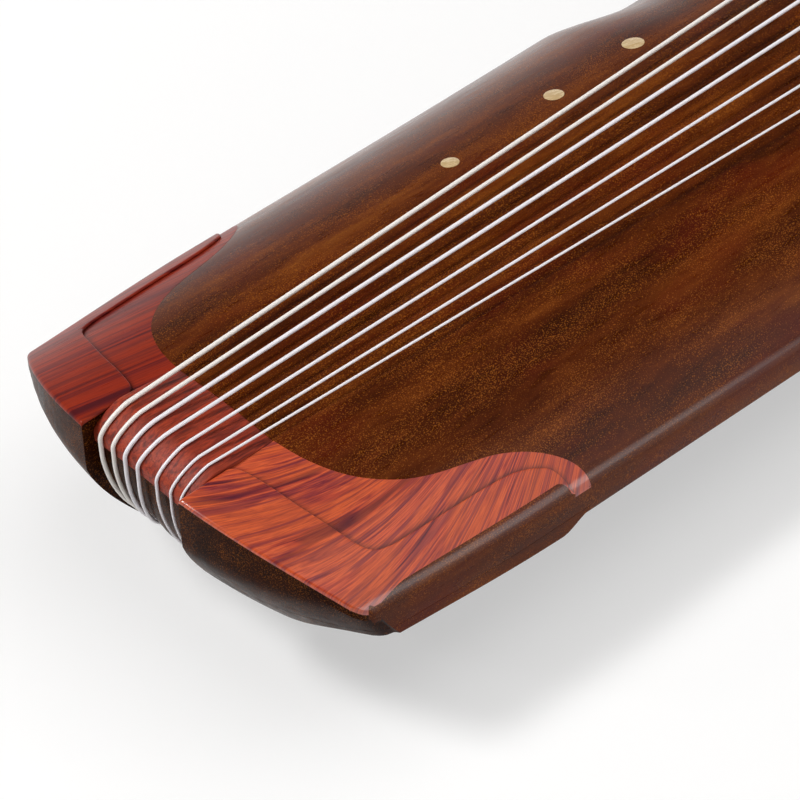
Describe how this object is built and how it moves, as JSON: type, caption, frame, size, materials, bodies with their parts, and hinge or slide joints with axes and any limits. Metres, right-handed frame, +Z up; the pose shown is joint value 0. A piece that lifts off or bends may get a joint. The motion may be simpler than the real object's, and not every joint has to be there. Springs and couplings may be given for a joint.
{
  "type": "guqin",
  "caption": "Long seven-string zither: arched lacquered soundboard, red rosewood tail corners, strings over the tail nut and wound on two feet, turning pegs under the head.",
  "frame": {"origin": "on the table, under the middle of the instrument's bounding box", "axes": "+X from the tail to the head, +Y from the player to the far side, +Z up"},
  "size_m": [1.222, 0.195, 0.0834],
  "materials": {
    "lacquer": "semi-gloss brown lacquer with fine golden specks",
    "dark_lacquer": "semi-gloss dark brown lacquer",
    "red_rosewood": "polished orange-red rosewood",
    "rosewood": "polished dark rosewood",
    "string": "smooth white wound string",
    "silk_cord": "twisted silk",
    "pearl": "polished tan shell",
    "pale_wood": "bare planed wood"
  },
  "bodies": {
    "instrument": {"soundboard": "lacquer", "bottom_board": "dark_lacquer", "tail_nut": "red_rosewood", "tail_nut_support": "dark_lacquer", "bridge": "rosewood", "peg_hole_strip": "rosewood", "sound_post_round": "pale_wood", "sound_post_square": "pale_wood", "crown_corner_far": "red_rosewood", "lower_crown_far": "dark_lacquer", "goose_foot_far": "rosewood", "peg_guard_far": "rosewood", "crown_corner_near": "red_rosewood", "lower_crown_near": "dark_lacquer", "goose_foot_near": "rosewood", "peg_guard_near": "rosewood", "string_1": "string", "tuning_cord_1": "silk_cord", "string_2": "string", "tuning_cord_2": "silk_cord", "string_3": "string", "tuning_cord_3": "silk_cord", "string_4": "string", "tuning_cord_4": "silk_cord", "string_5": "string", "tuning_cord_5": "silk_cord", "string_6": "string", "tuning_cord_6": "silk_cord", "string_7": "string", "tuning_cord_7": "silk_cord", "marker_01": "pearl", "marker_02": "pearl", "marker_03": "pearl", "marker_04": "pearl", "marker_05": "pearl", "marker_06": "pearl", "marker_07": "pearl", "marker_08": "pearl", "marker_09": "pearl", "marker_10": "pearl", "marker_11": "pearl", "marker_12": "pearl", "marker_13": "pearl"},
    "peg_1": {"tuning_peg_1": "rosewood"},
    "peg_2": {"tuning_peg_2": "rosewood"},
    "peg_3": {"tuning_peg_3": "rosewood"},
    "peg_4": {"tuning_peg_4": "rosewood"},
    "peg_5": {"tuning_peg_5": "rosewood"},
    "peg_6": {"tuning_peg_6": "rosewood"},
    "peg_7": {"tuning_peg_7": "rosewood"}
  },
  "joints": [
    {"name": "peg_1_turn", "type": "hinge", "parent": "instrument", "child": "peg_1", "pos_m": [0.54501, 0.0615, 0.0407], "axis": [0, 0, 1], "range_deg": [-540, 540]},
    {"name": "peg_2_turn", "type": "hinge", "parent": "instrument", "child": "peg_2", "pos_m": [0.54501, 0.041, 0.0407], "axis": [0, 0, 1], "range_deg": [-540, 540]},
    {"name": "peg_3_turn", "type": "hinge", "parent": "instrument", "child": "peg_3", "pos_m": [0.54501, 0.0205, 0.0407], "axis": [0, 0, 1], "range_deg": [-540, 540]},
    {"name": "peg_4_turn", "type": "hinge", "parent": "instrument", "child": "peg_4", "pos_m": [0.54501, 0, 0.0407], "axis": [0, 0, 1], "range_deg": [-540, 540]},
    {"name": "peg_5_turn", "type": "hinge", "parent": "instrument", "child": "peg_5", "pos_m": [0.54501, -0.0205, 0.0407], "axis": [0, 0, 1], "range_deg": [-540, 540]},
    {"name": "peg_6_turn", "type": "hinge", "parent": "instrument", "child": "peg_6", "pos_m": [0.54501, -0.041, 0.0407], "axis": [0, 0, 1], "range_deg": [-540, 540]},
    {"name": "peg_7_turn", "type": "hinge", "parent": "instrument", "child": "peg_7", "pos_m": [0.54501, -0.0615, 0.0407], "axis": [0, 0, 1], "range_deg": [-540, 540]}
  ]
}
